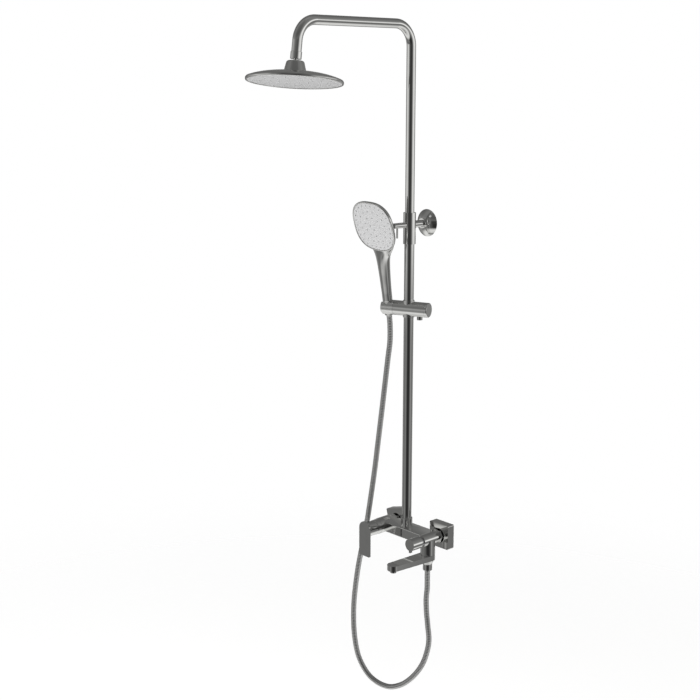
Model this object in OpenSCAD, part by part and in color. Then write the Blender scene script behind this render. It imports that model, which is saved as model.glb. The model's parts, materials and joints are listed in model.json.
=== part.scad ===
// Exposed bath and shower column: bar mixer, telescopic riser, rain head,
// sliding handset holder, handset and hose. Millimetres.
// X runs along the wall, -Y points out of the wall, +Z is up.
// The origin lies on the wall, midway between the two inlets.

/* [Mixer bar] */
// Distance between the two inlet centres
inlet_pitch = 150; // [145:1:165]
// Height of the rectangular bar
bar_h = 26; // [22:1:32]
// Distance from the wall to the back of the bar
bar_back = 30; // [27:1:36]
// Depth of the bar from back to front
bar_depth = 48; // [44:1:60]
// Radius of the round housing that holds the cartridge
cartridge_housing_r = 19; // [19:0.5:24]
// How far the cartridge housing stands out of the bar's front
cartridge_housing_out = 12; // [10:1:16]
// Radius of the diverter housing and of its knob
diverter_r = 15; // [14.5:0.5:19]
// Length of the diverter knob
diverter_knob_len = 31; // [22:1:40]

/* [Wall fittings] */
// Side of the square rosettes
rosette_side = 62; // [52:1:72]
// Depth of the square rosettes
rosette_depth = 21.6; // [18:0.2:24]
// Turn of the left rosette about its pipe
rosette_turn = 15; // [0:1:20]
// Outer radius of the threads that screw into the wall
inlet_thread_r = 10.48; // [9:0.01:12.9]
// Length of the threads that screw into the wall
inlet_thread_len = 15; // [10:1:25]

/* [Lever] */
// Width of the lever plate
lever_w = 38; // [36:1:46]
// Thickness of the lever plate
lever_t = 4; // [3:0.5:6]
// How far the lever plate hangs below the cartridge axis
lever_drop = 68; // [50:1:90]

/* [Spout] */
// Distance from the swivel axis to the middle of the spout tip
spout_reach = 112; // [80:1:140]
// Half width of the spout at the swivel
spout_root_r = 18.3; // [17.5:0.1:20]
// Half width of the spout at the tip
spout_tip_r = 15; // [12:0.5:17]
// Thickness of the spout
spout_t = 13.3; // [12:0.1:18]
// Turn of the spout at rest
spout_turn = -3.6; // [-10:0.2:10]

/* [Riser] */
// Distance from the wall to the riser axis
riser_out = 60; // [60:1:66]
// Outer radius of the lower pipe
lower_pipe_r = 12; // [11:0.5:13]
// Outer radius of the upper pipe
upper_pipe_r = 11; // [9.5:0.1:11]
// Wall of both pipes
pipe_wall = 0.95; // [0.8:0.05:1.2]
// Height of the sleeve's lower end
sleeve_z = 726; // [640:1:800]
// Length of the sleeve
sleeve_len = 75; // [60:1:110]
// Outer radius of the sleeve
sleeve_r = 15; // [14.5:0.1:18]
// Height of the wall bracket's axis above the inlets
bracket_z = 772; // [765:1:785]
// Radius of the wall flange
flange_r = 33; // [28:1:38]
// Depth of the domed wall flange
flange_depth = 15; // [12:1:20]

/* [Arm and rain head] */
// Height of the horizontal arm's axis
arm_z = 1235; // [1150:5:1400]
// Distance along the arm from the riser to the ball
arm_reach = 350; // [280:5:450]
// Bend radius of the arm
arm_bend_r = 50; // [40:1:70]
// How far the arm's end leans away from the wall
arm_lean = 7.3; // [0:0.1:15]
// Height from the ball up to the arm's axis
arm_drop = 94; // [85:1:130]
// Sideways tilt of the head on its ball
head_tilt = 3.7; // [0:0.1:8]
// Radius of the rain head
head_r = 106; // [85:1:150]
// Radius of the ball that carries the head
ball_r = 8; // [7:0.5:9]

/* [Handset holder] */
// Height of the slider's axis
slider_z = 568.5; // [500:0.5:600]
// Radius of the slider and of the cradle
slider_r = 18; // [17.5:0.5:22]
// Length of the slider to the right of the riser
slider_right = 54; // [48:1:70]
// Length of the slider and cradle to the left of the riser
slider_left = 69; // [68:1:78]
// Turn of the slider about the riser at rest
slider_turn = 19.8; // [0:0.1:25]
// Forward lean of the handset at rest
holder_tilt = 14; // [8:0.5:20]

/* [Handset] */
// Half width of the handset's face
face_half_w = 60; // [50:1:66]
// Half height of the handset's face
face_half_h = 64.5; // [52:0.5:68]
// Distance from the cradle to the middle of the face, along the handle
face_up = 213.5; // [205:0.5:250]
// How far the face stands in front of the handle's axis
face_out = 23; // [20:1:28]
// Lean of the face away from the handle
face_lean = 8.6; // [0:0.1:15]
// Turn of the handset in its cradle
handset_turn = -14; // [-20:1:0]

/* [Hose] */
// Outer radius of the metal hose
hose_r = 7; // [5:0.5:7]

/* [Hidden] */
run_gap = 0.05;             // radial clearance of running fits
free_gap = 0.3;             // gap between pieces that only pass each other
$fn = 64;

inlet_x = inlet_pitch / 2;
bar_front = bar_back + bar_depth;
bar_end_left = inlet_x + 18;
bar_edge_r = 2;
housing_front = bar_front + cartridge_housing_out;
housing_back = bar_front - 5;
diverter_front = bar_front + 7;
waterway_r = 6;
passage_r = 3.5;
cold_out = bar_back + 6;
mixed_out = riser_out + 10;
cold_turn_x = 11 - inlet_pitch / 2;

// cartridge: pivot of the lever on its pin, and the sphere that it swings in
chamber_r = cartridge_housing_r - 4.5;
chamber_back = bar_front - 28;
cartridge_front = housing_front - 6;
thread_ring_r = cartridge_housing_r - 2.6;
disc_r = 10;
disc_back = chamber_back + 12;
pivot_y = housing_front - 10;
cover_r = cartridge_housing_r - 0.5;
cup_r = cartridge_housing_r - 1;
cup_wall = 2;
cup_rim_y = pivot_y + 24;
swing_r = sqrt(pow(cup_rim_y - pivot_y, 2) + pow(cup_r - cup_wall, 2));
cover_sphere_r = swing_r - 0.5;
cover_wall = 1.6;
cover_hole_r = 14;
stem_w = 8;
stem_back = pivot_y - 4;
stem_front = pivot_y + 44;
stem_pin_r = 1.5;
lever_back = cup_rim_y + 27;
lever_corner_r = 2;
lever_top_z = 4;
lever_screw_y = cup_rim_y + 15;
lever_screw_r = 2.5;
plug_h = 1.5;

// diverter
gland_len = 7.7;
gland_r = 12.5;
knob_back = diverter_front + gland_len + free_gap;
knob_front = knob_back + diverter_knob_len;
diverter_chamber_r = 10;
diverter_chamber_back = bar_front - 33;
diverter_spindle_r = 4;
pointer_w = 5;
pointer_drop = 5;
pointer_len = 7;

// spout, its swivel post and the hose outlet
spout_top = -39;
spout_bottom = spout_top - spout_t;
post_r = 9;
post_bore_r = 5;
post_top = -17;
outlet_len = 11.4;
outlet_top = spout_bottom - free_gap;
outlet_bottom = outlet_top - outlet_len;
outlet_root_r = 16;
outlet_tip_r = 11;
hose_thread_r = 10.2;
hose_thread_len = 12;
hose_nut_r = 11.6;
hose_nut_len = 16;
seal_r = 1;
seal_heights = [spout_top - 2.2, spout_bottom + 2.2];
post_port_r = 2.5;
hose_nut_top = outlet_bottom;
hose_nut_bottom = hose_nut_top - hose_nut_len;
aerator_r = 7.5;
aerator_insert_r = 6.2;
aerator_drop = 7;
spout_channel_w = 14;
spout_channel_h = 6;

// inlets
union_r = 13.2;
union_front = 20;
union_bore_r = 7;
nut_flat = 30;
nut_wall_end = 14;
nut_front = bar_back - free_gap;
nut_lip = 4;
tail_r = 10;
tail_flange_r = 12.6;
washer_t = 2;
rosette_wall = 2;
rosette_web = 10;
rosette_hole_r = 18.5;
rosette_corner_r = 3;
hex = 6;

// riser
pipe_bore_r = upper_pipe_r + run_gap;
boss_r = 12;
boss_top = bar_h / 2 + 13;
riser_nut_wall = 2.5;
riser_nut_r = lower_pipe_r + riser_nut_wall;
riser_nut_top = bar_h / 2 + 24;
riser_seal_t = 2;
pipe_bottom = boss_top + riser_seal_t;
sleeve_top = sleeve_z + sleeve_len;
sleeve_cap = 6;
sleeve_seal_h = 5;
pipe_top = sleeve_top - sleeve_cap - sleeve_seal_h;
stem_r = 8.5;
stem_ring_r = 12;
stem_ring_w = 4;
flange_wall = 1.8;
backplate_t = 2;
backplate_r = flange_r - 4;
wall_screw_pitch = 36;
wall_hole_r = 2.7;
flange_screw_r = 1.2;
clamp_r = 6.5;
clamp_front = riser_out + sleeve_r + 38.5;
clamp_back = riser_out + sleeve_r + free_gap;
clamp_thread_r = 4;
tommy_r = 2.3;
tommy_out = 12.5;
tommy_drop = 30;
tommy_rise = 3;

// telescopic arm
insertion = 226;
bush_h = 12;
arm_bottom = sleeve_z - insertion;
spigot_r = upper_pipe_r - 2;
arm_bore_r = upper_pipe_r - pipe_wall;
spigot_wall = 0.8;
shoulder = 3;
ball_out = riser_out + arm_reach;
ball_z = arm_z - arm_drop;
lean_run = arm_drop * tan(arm_lean);
corner_out = ball_out - lean_run;
bend_out_angle = 90 - arm_lean;
bend_out_setback = arm_bend_r * tan(bend_out_angle / 2);
leg_len = arm_drop / cos(arm_lean) - bend_out_setback;
arm_nut_bottom = 10.8;
arm_nut_len = 15.9;
arm_nut_r = 12.3;
arm_end = 17;
neck_r = 4.5;
stud_flange_bottom = 14;
stud_bore_r = 2.5;

// rain head, measured down from the ball
face_drop = 36.5;
bell_top = 7;
bell_bottom = -18.5;
bell_top_r = 19.5;
bell_bottom_r = 25;
seat_r = ball_r + 2.2;
seat_half_h = 5;
bell_edge = 3;
bell_neck_r = 9;
bell_throat_r = 7.6;
head_wall = 1.6;
head_inlet_r = 6;
dome_power = 2.4;
rim_drop = 1;
head_face_top = 0.3;
face_sag = 3.2;
mat_t = 1.5;

// slider
cradle_s = 55;
cradle_edge = 36;
cap_len = 7;
bush_wall = 2;
bush_r = lower_pipe_r + bush_wall;
slider_bush_h = 41;
hinge_r = 10;
hinge_len = 4.5;
button_s = 29.5;
button_r = 6.8;
button_h = 9;
button_travel = 2.5;
button_stem_r = 3;
button_spring_r = 4.6;
button_spring_wall = 0.8;
button_bottom = -slider_r - 7.5;
button_top = button_bottom + button_h;
button_pocket_top = button_top + button_travel + 0.5;
spring_len = 8.5;
spring_seat = button_top + spring_len;
button_stem_top = spring_seat + 7.5;
stem_bore_top = button_stem_top + button_travel + 0.5;
cone_top = 16;
cone_bottom = -20;
cone_top_r = 12;
cone_bottom_r = 10.4;
slot_w = 2 * hose_r + 2;

// handset
handle_bottom_r = 11.6;
handle_top_r = 16.5;
handle_top = face_up - face_half_h - 8;
face_power = 2.6;
face_t = 3;
shell_wall = 2;
shell_edge = 9;
shell_depth = 22;
face_rim = 2.5;
spigot_handset_r = 9.6;

// Route of the hose from the holder to the mixer, chosen by hand.
hose_route = [
    [-53.6, -73.8, 548], [-54.5, -71.5, 539], [-54, -70, 520], [-54, -70, 480],
    [-59, -72, 435], [-65, -77, 362], [-71, -82, 290], [-78, -86, 220],
    [-85, -90, 150], [-94, -94, 80], [-104, -98, 10], [-117, -103, -60],
    [-129, -108, -131], [-138, -111, -205], [-140, -112, -263], [-135, -112, -320],
    [-121, -110, -370], [-90, -107, -406], [-55, -104, -419], [-18, -100, -418],
    [14, -96, -404], [40, -92, -384], [64, -86, -356], [82, -80, -324],
    [92, -75, -289], [94, -71, -258], [87, -68, -227], [78, -64, -194],
    [74, -62, -160], [75, -60, -130], [75, -60, -105], [75, -60, -80]];

chrome = "silver";
grey = "darkgray";

// ---- helpers ----

// Puts children that stand on +Z so that they point out of the wall.
module out_from(x, out, z) {
    translate([x, -out, z]) rotate([90, 0, 0]) children();
}

// A round bar along the wall's normal, between two distances from the wall.
module out_bar(x, z, r, from, to) {
    out_from(x, from, z) cylinder(r = r, h = to - from);
}

// A round bar upright, between two heights.
module upright(x, out, r, low, high) {
    translate([x, -out, low]) cylinder(r = r, h = high - low);
}

module rounded_rect(w, h, r) {
    square([w - 2 * r, h], center = true);
    square([w, h - 2 * r], center = true);
    for (x = [-1, 1], y = [-1, 1])
        translate([x * (w / 2 - r), y * (h / 2 - r)]) circle(r = r, $fn = 32);
}

// Outline of a tongue: round at both ends, with straight sides tangent to both.
module tongue(r1, r2, d, t) {
    a = asin((r1 - r2) / d);
    cylinder(r = r1, h = t);
    translate([0, -d, 0]) cylinder(r = r2, h = t);
    linear_extrude(t) polygon([
        [-r1 * cos(a), -r1 * sin(a)], [r1 * cos(a), -r1 * sin(a)],
        [r2 * cos(a), -d - r2 * sin(a)], [-r2 * cos(a), -d - r2 * sin(a)]]);
}

// Points of a rounded square, a superellipse with half sizes a and b.
function rounded_square(a, b, power, n = 48) = [for (i = [0 : n - 1])
    let (t = 360 * i / n, c = cos(t), s = sin(t))
    [a * sign(c) * pow(abs(c), 2 / power), b * sign(s) * pow(abs(s), 2 / power)]];

function unit(v) = v / norm(v);
function lerp(a, b, t) = a + (b - a) * t;

// ---- mixer ----

module mixer_body() color(chrome) difference() {
    union() {
        translate([-bar_end_left, -(bar_back + bar_front) / 2, 0])
            rotate([90, 0, 90]) linear_extrude(bar_end_left + inlet_x)
                rounded_rect(bar_depth, bar_h, bar_edge_r);
        out_bar(-inlet_x, 0, cartridge_housing_r, housing_back, housing_front);
        out_bar(inlet_x, 0, diverter_r, bar_back, diverter_front);
        upright(inlet_x, riser_out, spout_root_r, spout_top + free_gap, 0);
        upright(0, riser_out, boss_r, 0, boss_top);
        for (x = [-inlet_x, inlet_x]) {
            out_bar(x, 0, tail_r, union_front + washer_t, bar_back + 1);
            out_bar(x, 0, tail_flange_r, union_front + washer_t, nut_front - nut_lip);
        }
    }
    out_bar(-inlet_x, 0, chamber_r, chamber_back, housing_front + 1);
    out_bar(-inlet_x, 0, thread_ring_r, cartridge_front, housing_front + 1);
    out_bar(inlet_x, 0, diverter_chamber_r, diverter_chamber_back, diverter_front + 1);
    out_bar(-inlet_x, 0, waterway_r, union_front, chamber_back + 1);
    out_bar(inlet_x, 0, waterway_r, union_front, cold_out + passage_r);
    passage(cold_turn_x, inlet_x, cold_out, -5);
    out_bar(cold_turn_x, -5, passage_r, cold_out, chamber_back + 1);
    passage(-inlet_x, inlet_x, mixed_out, -6);
    passage(0, inlet_x, riser_out, 4);
    upright(0, riser_out, waterway_r, 0, boss_top + 1);
    upright(inlet_x, riser_out, post_r, spout_top - 1, post_top);
    upright(inlet_x, riser_out, post_bore_r, post_top - 1, 0);
}

// A drilled way along the bar, between two places on the wall's X.
module passage(from, to, out, z)
    translate([from, -out, z]) rotate([0, 90, 0]) cylinder(r = passage_r, h = to - from);

module wall_union(x) color(chrome) difference() {
    union() {
        out_bar(x, 0, inlet_thread_r, -inlet_thread_len, 0);
        out_bar(x, 0, union_r, 0, union_front);
    }
    out_bar(x, 0, union_bore_r, -inlet_thread_len - 1, union_front + 1);
}

module union_nut(x) color(chrome) difference() {
    out_from(x, nut_wall_end, 0)
        cylinder(r = nut_flat / 2 / cos(30), h = nut_front - nut_wall_end, $fn = hex);
    out_bar(x, 0, union_r, nut_wall_end - 1, nut_front - nut_lip);
    out_bar(x, 0, tail_r, nut_wall_end, nut_front + 1);
}

module rosette(x, turn) color(chrome) translate([x, 0, 0]) rotate([90, turn, 0])
    difference() {
        linear_extrude(rosette_depth) rounded_rect(rosette_side, rosette_side, rosette_corner_r);
        translate([0, 0, -1]) linear_extrude(rosette_web + 1) rosette_inside();
        translate([0, 0, rosette_web + rosette_wall])
            linear_extrude(rosette_depth - rosette_web - 2 * rosette_wall) rosette_inside();
        cylinder(r = union_r, h = rosette_depth);
        translate([0, 0, rosette_web + rosette_wall]) cylinder(r = rosette_hole_r, h = rosette_depth);
    }

module rosette_inside() {
    side = rosette_side - 2 * rosette_wall;
    rounded_rect(side, side, rosette_corner_r - 1);
}

module inlet_washers() color("black") for (x = [-inlet_x, inlet_x]) difference() {
    out_bar(x, 0, tail_flange_r, union_front, union_front + washer_t);
    out_bar(x, 0, union_bore_r, union_front - 1, union_front + washer_t + 1);
}

// ---- cartridge and lever ----

module cartridge() color("white") difference() {
    out_bar(-inlet_x, 0, chamber_r - run_gap, chamber_back, cartridge_front);
    out_bar(-inlet_x, 0, disc_r, disc_back, cartridge_front + 1);
}

module cartridge_nut() color("gold") difference() {
    out_bar(-inlet_x, 0, thread_ring_r, cartridge_front, housing_front);
    out_bar(-inlet_x, 0, disc_r - 0.6, cartridge_front - 1, housing_front + 1);
}

module cartridge_cover() color(chrome) difference() {
    cover_solid(cover_r, cover_sphere_r, 0);
    cover_solid(cover_r - cover_wall, cover_sphere_r - cover_wall, 1);
    out_bar(-inlet_x, 0, cover_hole_r, pivot_y, pivot_y + cover_sphere_r);
}

module cover_solid(r, ball, below) intersection() {
    out_bar(-inlet_x, 0, r, housing_front - below, pivot_y + ball);
    out_from(-inlet_x, pivot_y, 0) sphere(r = ball);
}

module mixing_disc() color("white") difference() {
    out_bar(-inlet_x, 0, disc_r - run_gap, disc_back + 2, cartridge_front - free_gap);
    stem_box(stem_w + 2 * free_gap, 2 * disc_r, stem_back - 3, cartridge_front);
    across_pivot(stem_pin_r, 2 * disc_r);
}

module stem_box(w, h, from, to)
    translate([-inlet_x - w / 2, -to, -h / 2]) cube([w, to - from, h]);

module across_pivot(r, len)
    translate([-inlet_x - len / 2, -pivot_y, 0]) rotate([0, 90, 0]) cylinder(r = r, h = len, $fn = 32);

module stem_pin() color(grey) across_pivot(stem_pin_r, 2 * disc_r - 3);

module lever_stem() color("gold") difference() {
    stem_box(stem_w, stem_w, stem_back, stem_front);
    across_pivot(stem_pin_r + run_gap, 2 * disc_r);
}

module lever() color(chrome) difference() {
    union() {
        out_bar(-inlet_x, 0, cup_r, cup_rim_y, lever_back);
        out_from(-inlet_x, lever_back, 0) linear_extrude(lever_t) lever_outline();
    }
    out_from(-inlet_x, pivot_y, 0) sphere(r = swing_r);
    stem_box(stem_w, stem_w, stem_back, stem_front);
    upright(-inlet_x, lever_screw_y, lever_screw_r, -cup_r - 1, 0);
    upright(-inlet_x, lever_screw_y, lever_screw_r + 1, -cup_r - 1, plug_h - cup_r);
}

module lever_outline() {
    translate([0, lever_top_z]) circle(r = lever_w / 2);
    translate([-lever_w / 2, -lever_drop + lever_corner_r])
        square([lever_w, lever_drop - lever_corner_r + lever_top_z]);
    translate([-lever_w / 2 + lever_corner_r, -lever_drop])
        square([lever_w - 2 * lever_corner_r, lever_corner_r + 1]);
    for (x = [-1, 1]) translate([x * (lever_w / 2 - lever_corner_r), lever_corner_r - lever_drop])
        circle(r = lever_corner_r, $fn = 32);
}

module lever_screw() color(grey)
    upright(-inlet_x, lever_screw_y, lever_screw_r, plug_h - cup_r, -stem_w / 2);

module lever_plug() color("red")
    upright(-inlet_x, lever_screw_y, lever_screw_r + 1, -cup_r, plug_h - cup_r);

// ---- diverter ----

module diverter_cartridge() color("white") difference() {
    out_bar(inlet_x, 0, diverter_chamber_r - run_gap, diverter_chamber_back, diverter_front);
    out_bar(inlet_x, 0, diverter_spindle_r + run_gap, bar_front - 18, diverter_front + 1);
}

module diverter_gland() color(grey) difference() {
    out_bar(inlet_x, 0, gland_r, diverter_front, diverter_front + gland_len);
    out_bar(inlet_x, 0, diverter_spindle_r + run_gap, bar_front, knob_back);
}

module diverter_spindle() color("gold")
    out_bar(inlet_x, 0, diverter_spindle_r, bar_front - 18, knob_front - 12);

module diverter_knob() color(chrome) difference() {
    union() {
        out_bar(inlet_x, 0, diverter_r, knob_back, knob_front);
        translate([inlet_x - pointer_w / 2, -knob_front, -diverter_r - pointer_drop])
            cube([pointer_w, pointer_len, diverter_r]);
    }
    out_bar(inlet_x, 0, diverter_spindle_r, knob_back - 1, knob_front - 12);
}

// ---- spout ----

module at_spout() translate([inlet_x, -riser_out, 0]) rotate([0, 0, spout_turn]) children();

module spout() color(chrome) at_spout() difference() {
    translate([0, 0, spout_bottom]) tongue(spout_root_r, spout_tip_r, spout_reach, spout_t);
    translate([0, 0, spout_bottom - 1]) cylinder(r = post_r + run_gap, h = spout_t + 2);
    for (z = seal_heights) translate([0, 0, z - seal_r])
        cylinder(r = post_r + run_gap + 2 * seal_r, h = 2 * seal_r);
    translate([-spout_channel_w / 2, -spout_reach, spout_bottom + 4])
        cube([spout_channel_w, spout_reach, spout_channel_h]);
    translate([0, -spout_reach, spout_bottom - 1]) cylinder(r = aerator_r, h = 5);
}

module spout_seals() color("black") at_spout() for (z = seal_heights) translate([0, 0, z])
    rotate_extrude() translate([post_r + run_gap + seal_r, 0]) circle(r = seal_r, $fn = 24);

module aerator_housing() color(chrome) at_spout() translate([0, -spout_reach, 0]) difference() {
    translate([0, 0, spout_bottom - aerator_drop]) cylinder(r = aerator_r, h = aerator_drop + 4);
    translate([0, 0, spout_bottom - aerator_drop - 1])
        cylinder(r = aerator_insert_r, h = aerator_drop + 6);
}

module aerator_insert() color(grey) at_spout() translate([0, -spout_reach, 0])
    translate([0, 0, spout_bottom - aerator_drop + 1.5])
        cylinder(r = aerator_insert_r, h = aerator_drop);

module swivel_post() color("gold") difference() {
    upright(inlet_x, riser_out, post_r, outlet_bottom + 4, post_top);
    upright(inlet_x, riser_out, post_bore_r, outlet_bottom, post_top + 1);
    translate([inlet_x, -riser_out, spout_bottom + 4 + spout_channel_h / 2]) for (a = [0, 90])
        rotate([90, 0, a]) cylinder(r = post_port_r, h = 2 * post_r, center = true);
}

module hose_outlet() color(chrome) difference() {
    union() {
        translate([inlet_x, -riser_out, outlet_bottom])
            cylinder(r1 = outlet_tip_r, r2 = outlet_root_r, h = outlet_len);
        upright(inlet_x, riser_out, hose_thread_r, outlet_bottom - hose_thread_len, outlet_bottom + 1);
    }
    upright(inlet_x, riser_out, post_r, outlet_bottom + 4, outlet_top + 1);
    upright(inlet_x, riser_out, post_bore_r, outlet_bottom - hose_thread_len - 1, outlet_top);
}

module hose_nut_mixer() color(chrome) difference() {
    upright(inlet_x, riser_out, hose_nut_r, hose_nut_bottom, hose_nut_top);
    upright(inlet_x, riser_out, hose_thread_r, outlet_bottom - hose_thread_len, hose_nut_top + 1);
    upright(inlet_x, riser_out, post_bore_r, hose_nut_bottom - 1, hose_nut_top);
}

// ---- hose ----

function route_at(i) = hose_route[max(0, min(len(hose_route) - 1, i))];

// A point of the smooth curve through the route, t of the way past point i.
function route_point(i, t) =
    let (a = route_at(i - 1), b = route_at(i), c = route_at(i + 1), d = route_at(i + 2))
    0.5 * (2 * b + (c - a) * t + (2 * a - 5 * b + 4 * c - d) * t * t
        + (3 * b - a - 3 * c + d) * t * t * t);

function hose_centres() = [
    for (i = [0 : len(hose_route) - 2]) each [for (t = [0, 0.5]) route_point(i, t)],
    hose_route[len(hose_route) - 1]];

function hose_ring(p, dir, sides) =
    let (side = unit(cross(dir, [0, 1, 0])), up = cross(side, dir))
    [for (k = [0 : sides - 1]) p + hose_r * (cos(360 * k / sides) * side
        + sin(360 * k / sides) * up)];

module hose() color(grey) {
    sides = 10;
    c = hose_centres();
    last = len(c) - 1;
    rings = [for (i = [0 : last])
        hose_ring(c[i], unit(c[min(last, i + 1)] - c[max(0, i - 1)]), sides)];
    points = [for (ring = rings) each ring];
    walls = [for (i = [0 : last - 1], k = [0 : sides - 1])
        let (n = (k + 1) % sides)
        [i * sides + k, (i + 1) * sides + k, (i + 1) * sides + n, i * sides + n]];
    start = [[for (k = [0 : sides - 1]) k]];
    end = [[for (k = [sides - 1 : -1 : 0]) last * sides + k]];
    polyhedron(points, concat(walls, start, end), convexity = 10);
}

// ---- riser and wall bracket ----

module riser_nut() color(chrome) difference() {
    upright(0, riser_out, riser_nut_r, bar_h / 2, riser_nut_top);
    upright(0, riser_out, lower_pipe_r, bar_h / 2 - 1, riser_nut_top + 1);
}

module riser_seal() color("black") difference() {
    upright(0, riser_out, lower_pipe_r, boss_top, boss_top + riser_seal_t);
    upright(0, riser_out, waterway_r, boss_top - 1, boss_top + riser_seal_t + 1);
}

module lower_pipe() color(chrome) difference() {
    upright(0, riser_out, lower_pipe_r, pipe_bottom, pipe_top);
    upright(0, riser_out, pipe_bore_r, pipe_bottom - 1, pipe_top + 1);
    clamp_hole();
}

module clamp_hole() out_bar(0, bracket_z, clamp_thread_r, riser_out, clamp_front);

module sleeve() color(chrome) difference() {
    upright(0, riser_out, sleeve_r, sleeve_z, sleeve_top);
    upright(0, riser_out, lower_pipe_r, sleeve_z - 1, pipe_top);
    upright(0, riser_out, lower_pipe_r + 0.5, pipe_top, pipe_top + sleeve_seal_h);
    upright(0, riser_out, upper_pipe_r + free_gap, pipe_top, sleeve_top + 1);
    clamp_hole();
}

module sleeve_seal() color("black") difference() {
    upright(0, riser_out, lower_pipe_r + 0.5, pipe_top, pipe_top + sleeve_seal_h);
    upright(0, riser_out, pipe_bore_r, pipe_top - 1, sleeve_top);
}

module bracket_stem() color(chrome) difference() {
    out_bar(0, bracket_z, stem_r, backplate_t, riser_out - lower_pipe_r);
    upright(0, riser_out, sleeve_r, sleeve_z - 1, sleeve_top + 1);
}

module wall_flange() color(chrome) out_from(0, 0, bracket_z) difference() {
    rotate_extrude($fn = 96) polygon(concat(
        dome_arc(flange_r, flange_depth, 0, stem_ring_r),
        [[stem_ring_r, flange_depth + stem_ring_w], [stem_r, flange_depth + stem_ring_w]],
        dome_arc(flange_r - flange_wall, flange_depth - flange_wall, 1, stem_r)));
    translate([0, 0, flange_depth + stem_ring_w / 2]) rotate([90, 0, 0])
        cylinder(r = flange_screw_r, h = stem_ring_r + 1, $fn = 32);
}

// Profile of a dome on the wall, from its base in to a radius, or back again.
function dome_arc(base, height, back, to, n = 12) =
    let (ball = (base * base + height * height) / (2 * height))
    [for (i = [0 : n]) let (r = lerp(base, to, (back == 1 ? n - i : i) / n))
        [r, height - ball + sqrt(ball * ball - r * r)]];

module wall_plate() color(grey) difference() {
    out_bar(0, bracket_z, backplate_r, 0, backplate_t);
    for (z = [-1, 1]) out_bar(0, bracket_z + z * wall_screw_pitch / 2, wall_hole_r, -1, 3);
}

module flange_screw() color(grey)
    upright(0, flange_depth + stem_ring_w / 2, flange_screw_r,
        bracket_z - stem_ring_r, bracket_z - stem_r);

module clamp_screw() color(chrome) difference() {
    union() {
        out_bar(0, bracket_z, clamp_thread_r - run_gap, riser_out + pipe_bore_r + 0.3, clamp_back);
        out_bar(0, bracket_z, clamp_r, clamp_back, clamp_front);
    }
    upright(0, clamp_front - tommy_out, tommy_r,
        bracket_z - tommy_drop, bracket_z + tommy_rise);
}

module clamp_bar() color(chrome)
    upright(0, clamp_front - tommy_out, tommy_r,
        bracket_z - tommy_drop, bracket_z + tommy_rise);

// ---- telescopic arm ----

module guide_bush() color("white") difference() {
    upright(0, riser_out, upper_pipe_r, arm_bottom - bush_h, arm_bottom - free_gap);
    upright(0, riser_out, spigot_r + run_gap, arm_bottom - bush_h - 1, arm_bottom);
}

module at_ball() translate([0, -ball_out, ball_z]) rotate([-arm_lean, 0, 0]) children();

// The arm's riser, first bend and horizontal run as a solid of one radius.
module arm_run(r, low) {
    upright(0, riser_out, r, low, arm_z - arm_bend_r);
    translate([0, -riser_out - arm_bend_r, arm_z - arm_bend_r]) rotate([90, 0, 90])
        rotate_extrude(angle = 90) translate([arm_bend_r, 0]) circle(r = r);
    out_bar(0, arm_z, r, riser_out + arm_bend_r, corner_out - bend_out_setback);
}

module shower_arm() color(chrome) difference() {
    union() {
        arm_run(upper_pipe_r, arm_bottom);
        upright(0, riser_out, spigot_r, arm_bottom - bush_h, arm_bottom + 1);
    }
    arm_run(arm_bore_r, arm_bottom + shoulder);
    upright(0, riser_out, spigot_r - spigot_wall, arm_bottom - bush_h - 1,
        arm_bottom + shoulder + 1);
}

// The end bend and down leg, built from the ball's frame.
module arm_elbow() color(chrome) at_ball() {
    translate([0, arm_bend_r, leg_len]) rotate([90, 0, 90]) rotate([0, 0, 180])
        mirror([0, 1, 0]) rotate_extrude(angle = bend_out_angle)
        translate([arm_bend_r, 0]) pipe_section();
    translate([0, 0, arm_end]) linear_extrude(leg_len - arm_end) pipe_section();
}

module pipe_section() difference() {
    circle(r = upper_pipe_r);
    circle(r = arm_bore_r);
}

module arm_nut() color(chrome) at_ball() difference() {
    translate([0, 0, arm_nut_bottom]) cylinder(r = arm_nut_r, h = arm_nut_len);
    translate([0, 0, stud_flange_bottom]) cylinder(r = upper_pipe_r, h = arm_nut_len);
    cylinder(r = neck_r, h = stud_flange_bottom + 1);
}

module ball_stud() color(chrome) at_ball() difference() {
    union() {
        sphere(r = ball_r);
        cylinder(r = neck_r, h = stud_flange_bottom);
        translate([0, 0, stud_flange_bottom])
            cylinder(r = upper_pipe_r, h = arm_end - stud_flange_bottom);
    }
    translate([0, 0, -ball_r - 1]) cylinder(r = stud_bore_r, h = ball_r + arm_end + 2);
}

// ---- rain head ----

module at_head() at_ball() rotate([0, -head_tilt, 0]) children();

module ball_seat() color("white") at_head() difference() {
    intersection() {
        sphere(r = seat_r);
        translate([0, 0, -seat_half_h]) cylinder(r = seat_r + 1, h = 2 * seat_half_h);
    }
    sphere(r = ball_r + run_gap);
}

module head_bell() color(chrome) at_head() difference() {
    rotate_extrude($fn = 96) polygon([[0, bell_bottom], [bell_bottom_r, bell_bottom],
        [bell_top_r, bell_top - bell_edge], [bell_top_r - bell_edge, bell_top], [0, bell_top]]);
    sphere(r = seat_r + run_gap);
    translate([0, 0, seat_half_h - 1]) cylinder(r1 = bell_throat_r, r2 = bell_neck_r,
        h = bell_top - seat_half_h + 1.01);
    translate([0, 0, bell_bottom - 1]) cylinder(r = head_inlet_r, h = -bell_bottom);
}

// Height of the dome above the face's plane at a distance from the axis.
function dome_height(r) = let (flat = bell_bottom_r, t = max(0, (r - flat) / (head_r - flat)))
    (face_drop + bell_bottom) * (1 - pow(t, dome_power));

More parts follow.
